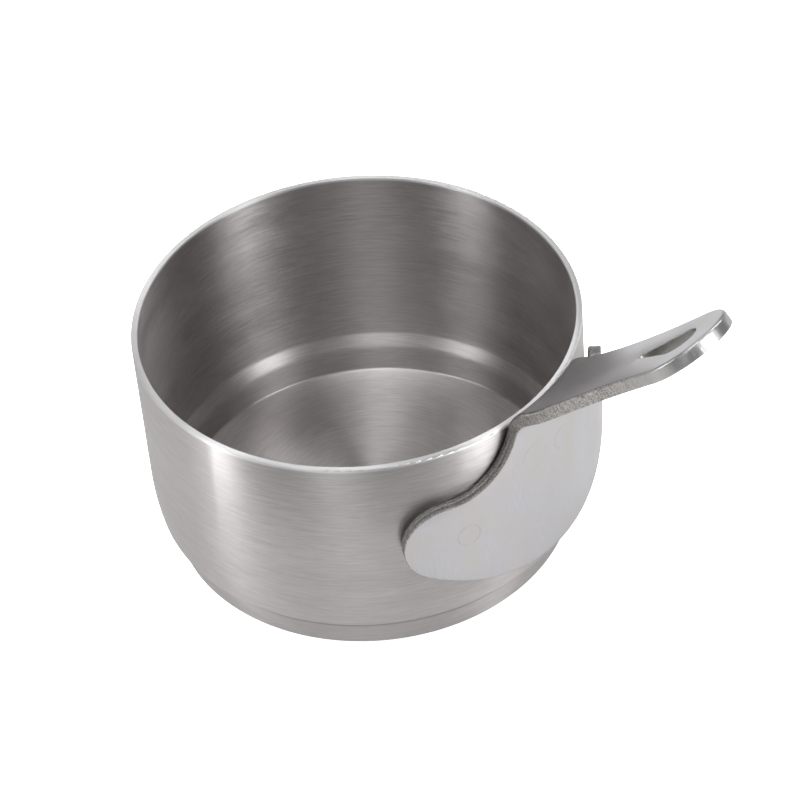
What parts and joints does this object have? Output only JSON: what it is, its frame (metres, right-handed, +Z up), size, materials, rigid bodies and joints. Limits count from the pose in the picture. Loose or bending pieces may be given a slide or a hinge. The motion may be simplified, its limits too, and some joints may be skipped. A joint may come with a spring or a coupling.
{
  "type": "shaving mug",
  "caption": "Low round steel shaving mug with a stepped foot and a bent plate handle that rises from a two-lobed pad on the wall and ends in a hanging slot.",
  "frame": {"origin": "centre of the flat base, on the surface the mug stands on", "axes": "+Z up along the bowl's axis, +X out along the handle"},
  "size_m": [0.1446, 0.0996, 0.0977],
  "materials": {
    "bowl_steel": "turned with fine rings round the axis, satin, ground lip",
    "handle_steel": "satin faces, rough sheared edges, polished edge at the grip tip",
    "weld_steel": "fused, dull"
  },
  "bodies": {
    "root": {"bowl": "bowl_steel", "handle": "handle_steel", "spot_welds": "weld_steel"}
  },
  "joints": []
}
